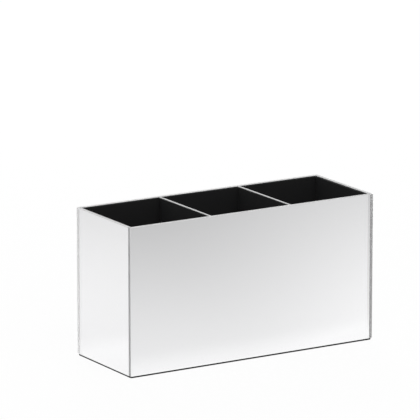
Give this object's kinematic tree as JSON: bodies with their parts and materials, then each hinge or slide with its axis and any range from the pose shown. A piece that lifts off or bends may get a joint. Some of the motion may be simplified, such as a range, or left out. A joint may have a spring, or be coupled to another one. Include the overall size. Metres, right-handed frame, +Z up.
{
  "type": "makeup brush holder",
  "caption": "Open-topped rectangular holder of mirrored glass panes, lined in black, with glass dividers that part it into side-by-side compartments for makeup brushes.",
  "frame": {"origin": "middle of the felt face that the holder stands on", "axes": "+X along the row of compartments, to the right seen from the front; +Y to the back; +Z up to the open rim"},
  "size_m": [0.22, 0.081, 0.1175],
  "materials": {
    "mirror_glass": "clear float glass silvered on the inner face, ground edges",
    "divider_glass": "clear float glass, polished top edge, ground arrises",
    "clear_adhesive": "clear cured adhesive",
    "black_flock": "short black flock on thin card",
    "fibreboard": "plain sanded fibreboard",
    "black_felt": "pressed black felt"
  },
  "bodies": {
    "root": {"front_mirror": "mirror_glass", "back_mirror": "mirror_glass", "left_mirror": "mirror_glass", "right_mirror": "mirror_glass", "left_divider": "divider_glass", "right_divider": "divider_glass", "front_left_bond": "clear_adhesive", "front_right_bond": "clear_adhesive", "back_left_bond": "clear_adhesive", "back_right_bond": "clear_adhesive", "left_divider_front_bond": "clear_adhesive", "left_divider_back_bond": "clear_adhesive", "left_divider_foot_bond": "clear_adhesive", "right_divider_front_bond": "clear_adhesive", "right_divider_back_bond": "clear_adhesive", "right_divider_foot_bond": "clear_adhesive", "base_front_bond": "clear_adhesive", "base_back_bond": "clear_adhesive", "base_left_bond": "clear_adhesive", "base_right_bond": "clear_adhesive", "left_bay_front_lining": "black_flock", "left_bay_back_lining": "black_flock", "left_bay_left_lining": "black_flock", "left_bay_right_lining": "black_flock", "middle_bay_front_lining": "black_flock", "middle_bay_back_lining": "black_flock", "middle_bay_left_lining": "black_flock", "middle_bay_right_lining": "black_flock", "right_bay_front_lining": "black_flock", "right_bay_back_lining": "black_flock", "right_bay_left_lining": "black_flock", "right_bay_right_lining": "black_flock", "left_bay_floor_lining": "black_flock", "middle_bay_floor_lining": "black_flock", "right_bay_floor_lining": "black_flock", "base_board": "fibreboard", "base_felt": "black_felt"}
  },
  "joints": []
}
